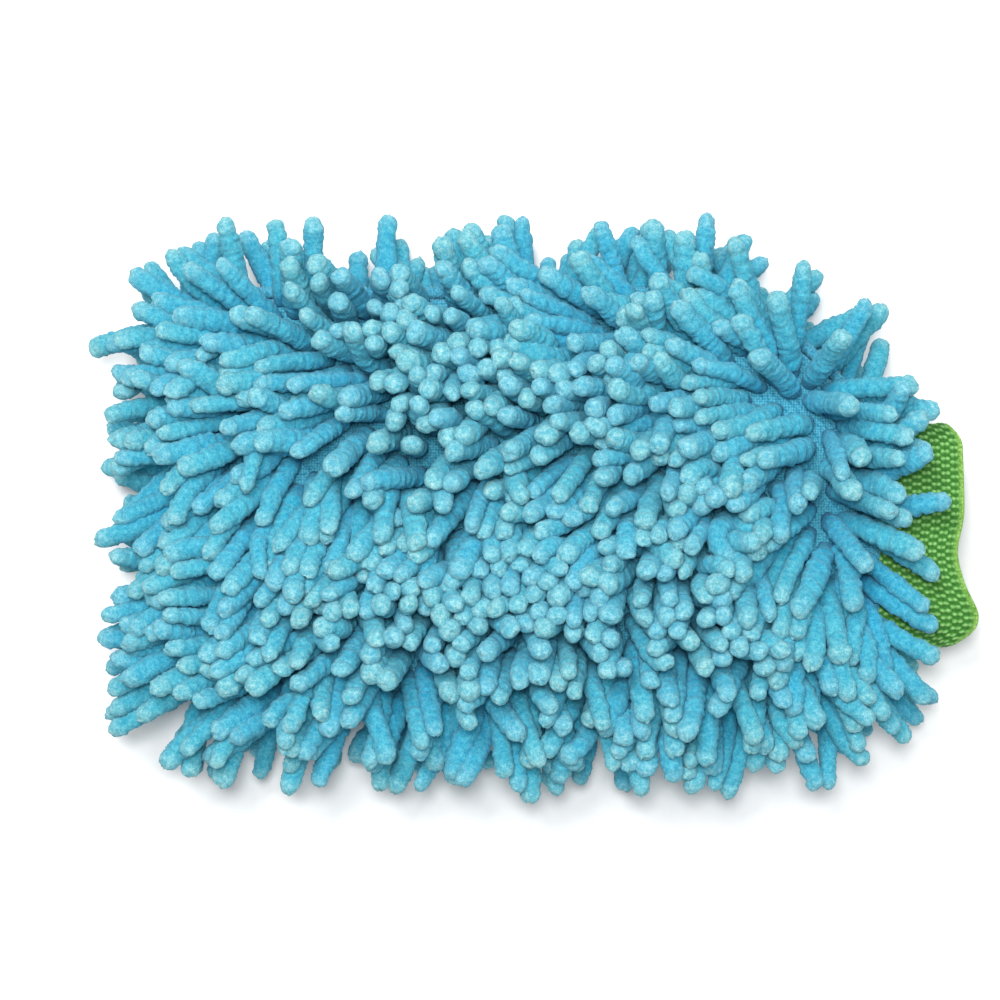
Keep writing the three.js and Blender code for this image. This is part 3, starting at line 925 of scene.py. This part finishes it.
def build_cuff_lap():
    """The lap inside the cuff where the band's ends are sewn together, and its stitches."""
    low, high = box_mm("cuff_lap_seam")
    x = np.linspace(low.x, high.x, 60)
    angle = np.linspace(0, 2 * np.pi, 40, endpoint=False)
    circle = np.stack([np.cos(angle), np.sin(angle)])
    squared = np.abs(circle) ** LAP_SQUARENESS
    squared *= np.sign(circle)
    half_width = (high.y - low.y) / 2
    half_height = (high.z - low.z) / 2
    rings = np.stack(
        [
            x[:, None] + 0 * angle,
            (low.y + high.y) / 2 + half_width * squared[0] + 0 * x[:, None],
            (low.z + high.z) / 2 + half_height * squared[1] * (1 + 0.05 * np.sin(x[:, None] * 4)),
        ],
        axis=-1,
    )
    ends = np.stack([rings[0].mean(0), rings[-1].mean(0)])
    lap = face_outwards(
        new_piece(
            "cuff_lap",
            np.concatenate([rings.reshape(-1, 3), ends]),
            grid_quads(len(x), len(angle), wrap_columns=True),
            end_fans(len(x), len(angle)),
            webbing_material(),
        )
    )
    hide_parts("cuff_lap_seam")
    along = np.linspace(0, 1, 260)
    swing = zigzag_swing(LAP_STITCHES, along)
    zigzag = np.stack(
        [
            low.x + 1 + along * (high.x - low.x - 2),
            (low.y + high.y) / 2 + LAP_STITCH_WIDTH * swing,
            np.full(len(along), high.z + 0.05),
        ],
        axis=1,
    )
    thread = tube("cuff_lap_stitches", zigzag, np.full(len(zigzag), THREAD_RADIUS), 6, GREEN_THREAD)
    for piece in (lap, thread):
        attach(piece, "cuff")


# ---------------------------------------- materials


def node(tree, kind, **inputs):
    """A shader node with some of its sockets set."""
    made = tree.nodes.new(kind)
    for key, value in inputs.items():
        made.inputs[key.replace("_", " ")].default_value = value
    return made


def fabric(name, roughness, sheen, sheen_tint):
    """A matt cloth material; returns it with its tree and shader."""
    material = bpy.data.materials.new(name)
    material.use_nodes = True
    tree = material.node_tree
    shader = tree.nodes["Principled BSDF"]
    shader.inputs["Roughness"].default_value = roughness
    shader.inputs["Specular IOR Level"].default_value = 0.12
    shader.inputs["Sheen Weight"].default_value = sheen
    shader.inputs["Sheen Roughness"].default_value = 0.45
    shader.inputs["Sheen Tint"].default_value = (*sheen_tint, 1)
    return material, tree, shader


def object_texture(tree, kind, scale, **inputs):
    """A texture in the mitt's own coordinates, with `scale` features to the metre."""
    coordinates = tree.nodes.new("ShaderNodeTexCoord")
    texture = node(tree, kind, Scale=scale, **inputs)
    tree.links.new(coordinates.outputs["Object"], texture.inputs["Vector"])
    return texture


def attribute(tree, name):
    made = tree.nodes.new("ShaderNodeAttribute")
    made.attribute_name = name
    return made.outputs["Fac"]


def ramp(tree, factor, stops):
    """A colour ramp over a factor: stops are (position, (r, g, b))."""
    made = tree.nodes.new("ShaderNodeValToRGB")
    while len(made.color_ramp.elements) < len(stops):
        made.color_ramp.elements.new(0.5)
    for element, (position, colour) in zip(made.color_ramp.elements, stops):
        element.position = position
        element.color = (*colour, 1)
    tree.links.new(factor, made.inputs["Fac"])
    return made.outputs["Color"]


def mix_colour(tree, factor, first, second, blend="MIX"):
    """first and second are sockets; factor is a socket or a number."""
    made = tree.nodes.new("ShaderNodeMix")
    made.data_type = "RGBA"
    made.blend_type = blend
    if isinstance(factor, (int, float)):
        made.inputs["Factor"].default_value = factor
    else:
        tree.links.new(factor, made.inputs["Factor"])
    colours = [socket for socket in made.inputs if socket.type == "RGBA"]
    tree.links.new(first, colours[0])
    tree.links.new(second, colours[1])
    return next(socket for socket in made.outputs if socket.type == "RGBA")


def add_bump(tree, shader, height, strength, distance_mm):
    bump = node(tree, "ShaderNodeBump", Strength=strength, Distance=distance_mm * MM)
    tree.links.new(height, bump.inputs["Height"])
    tree.links.new(bump.outputs["Normal"], shader.inputs["Normal"])


def floor_material():
    """A pale, very slightly mottled paper floor."""
    material, tree, shader = fabric("floor", 0.85, 0.0, (1, 1, 1))
    grain = object_texture(tree, "ShaderNodeTexNoise", 300, Detail=2)
    paper = ramp(tree, grain.outputs["Fac"], [(0.3, (0.9, 0.9, 0.9)), (0.7, (0.92, 0.92, 0.92))])
    tree.links.new(paper, shader.inputs["Base Color"])
    return material


def chenille_material():
    """Fuzzy microfibre, mottled like cut pile: deeper at the roots with painted shade, pale at the tips
    with a painted highlight.
    """
    material, tree, shader = fabric("chenille", 0.95, 0.22, (0.6, 0.9, 1.0))
    # Painted shade and highlight: the ramp along each finger darkens its root, where shade falls between
    # the fingers, and lightens its tip as if lit from above.
    body = ramp(tree, attribute(tree, "along"), [
        (0.0, (0.004, 0.13, 0.27)),
        (0.2, (0.034, 0.36, 0.53)),
        (0.84, (0.068, 0.395, 0.515)),
        (1.0, (0.18, 0.49, 0.56)),
    ])
    tinted = ramp(tree, attribute(tree, "tint"), [
        (0.0, (0.88, 0.96, 1.02)),
        (0.5, (1.0, 1.0, 1.0)),
        (1.0, (1.12, 1.03, 0.98)),
    ])
    coloured = mix_colour(tree, 1.0, body, tinted, "MULTIPLY")
    mottle = object_texture(tree, "ShaderNodeTexNoise", 750, Detail=3, Roughness=0.6)
    patches = ramp(tree, mottle.outputs["Fac"], [
        (0.33, (0.5, 0.8, 0.89)),
        (0.5, (1.0, 1.0, 1.0)),
        (0.67, (1.75, 1.22, 1.13)),
    ])
    patched = mix_colour(tree, 1.0, coloured, patches, "MULTIPLY")
    fuzz = object_texture(tree, "ShaderNodeTexNoise", 2100, Detail=3, Roughness=0.7)
    speckle = ramp(tree, fuzz.outputs["Fac"], [
        (0.34, (0.55, 0.8, 0.88)),
        (0.5, (1.0, 1.0, 1.0)),
        (0.66, (1.5, 1.19, 1.12)),
    ])
    final = mix_colour(tree, 1.0, patched, speckle, "MULTIPLY")
    tree.links.new(final, shader.inputs["Base Color"])
    add_bump(tree, shader, fuzz.outputs["Fac"], 0.9, 0.6)
    return material


def knit_material():
    """The pile's base cloth: a fine blue knit, dotted with its loops."""
    material, tree, shader = fabric("base_cloth", 0.9, 0.2, (0.7, 0.9, 1.0))
    loops = object_texture(tree, "ShaderNodeTexVoronoi", 1250, Randomness=0.4)
    dots = ramp(tree, loops.outputs["Distance"], [
        (0.0, (0.15, 0.52, 0.64)),
        (0.45, (0.06, 0.35, 0.49)),
        (0.8, (0.012, 0.14, 0.25)),
    ])
    tree.links.new(dots, shader.inputs["Base Color"])
    height = ramp(tree, loops.outputs["Distance"], [(0.0, (1, 1, 1)), (0.7, (0, 0, 0))])
    add_bump(tree, shader, height, 0.8, 0.4)
    return material


def knit_edge_material():
    """The overlocked edge and the mouth's binding: the base cloth's yarn, packed closer."""
    material, tree, shader = fabric("overlock", 0.85, 0.2, (0.7, 0.9, 1.0))
    strands = object_texture(tree, "ShaderNodeTexNoise", 1400, Detail=3, Roughness=0.6)
    yarn = ramp(tree, strands.outputs["Fac"], [
        (0.35, (0.02, 0.19, 0.32)),
        (0.65, (0.10, 0.42, 0.55)),
    ])
    tree.links.new(yarn, shader.inputs["Base Color"])
    add_bump(tree, shader, strands.outputs["Fac"], 0.6, 0.4)
    return material


def lining_material():
    """A smooth warp-knit lining with fine ribs along the hand."""
    material, tree, shader = fabric("lining", 0.8, 0.25, (0.8, 0.9, 1.0))
    ribs = object_texture(tree, "ShaderNodeTexWave", 180, Distortion=1.5, Detail=2)
    ribs.bands_direction = "Y"
    shade = ramp(tree, ribs.outputs["Fac"], [(0.2, (0.10, 0.36, 0.47)), (0.8, (0.16, 0.47, 0.58))])
    tree.links.new(shade, shader.inputs["Base Color"])
    add_bump(tree, shader, ribs.outputs["Fac"], 0.5, 0.2)
    return material


def elastic_material():
    """Woven elastic: pale green dashes over a deep green ground, and a yellower selvedge."""
    material, tree, shader = fabric("elastic", 0.7, 0.12, (0.8, 1.0, 0.7))
    woven = ramp(tree, attribute(tree, "dash"), [
        (0.0, (0.036, 0.155, 0.022)),
        (0.35, (0.078, 0.25, 0.044)),
        (0.8, (0.17, 0.39, 0.105)),
        (1.0, (0.27, 0.53, 0.18)),
    ])
    strands = object_texture(tree, "ShaderNodeTexNoise", 1300, Detail=4, Roughness=0.7)
    rolled = ramp(tree, strands.outputs["Fac"], [
        (0.35, (0.13, 0.33, 0.04)),
        (0.65, (0.27, 0.48, 0.12)),
    ])
    both = mix_colour(tree, attribute(tree, "selvedge"), woven, rolled)
    shade = ramp(tree, strands.outputs["Fac"], [(0.3, (0.5, 0.62, 0.5)), (0.68, (1.3, 1.2, 1.35))])
    final = mix_colour(tree, 1.0, both, shade, "MULTIPLY")
    tree.links.new(final, shader.inputs["Base Color"])
    add_bump(tree, shader, strands.outputs["Fac"], 0.5, 0.3)
    return material


def webbing_material():
    """The lap's plain elastic: close green ribs."""
    material, tree, shader = fabric("webbing", 0.75, 0.1, (0.8, 1.0, 0.7))
    ribs = object_texture(tree, "ShaderNodeTexWave", 220, Distortion=1.0, Detail=2)
    ribs.bands_direction = "X"
    shade = ramp(tree, ribs.outputs["Fac"], [(0.2, (0.03, 0.17, 0.01)), (0.8, (0.13, 0.38, 0.05))])
    tree.links.new(shade, shader.inputs["Base Color"])
    add_bump(tree, shader, ribs.outputs["Fac"], 0.6, 0.3)
    return material


def thread_material(name, dark, light):
    """Twisted sewing thread."""
    material, tree, shader = fabric(name, 0.5, 0.1, (1, 1, 1))
    twist = object_texture(tree, "ShaderNodeTexNoise", 2600, Detail=2)
    shade = ramp(tree, twist.outputs["Fac"], [(0.35, dark), (0.65, light)])
    tree.links.new(shade, shader.inputs["Base Color"])
    add_bump(tree, shader, twist.outputs["Fac"], 0.4, 0.1)
    return material


# ---------------------------------------- building it all

add_camera()
add_studio()

BLUE_THREAD = thread_material("blue_thread", (0.04, 0.25, 0.38), (0.12, 0.46, 0.58))
GREEN_THREAD = thread_material("green_thread", (0.04, 0.2, 0.02), (0.2, 0.5, 0.1))

build_rows(chenille_material())
build_panels()
build_side_seam()
build_cuff_joining_seam()
build_cuff()
build_cuff_lap()
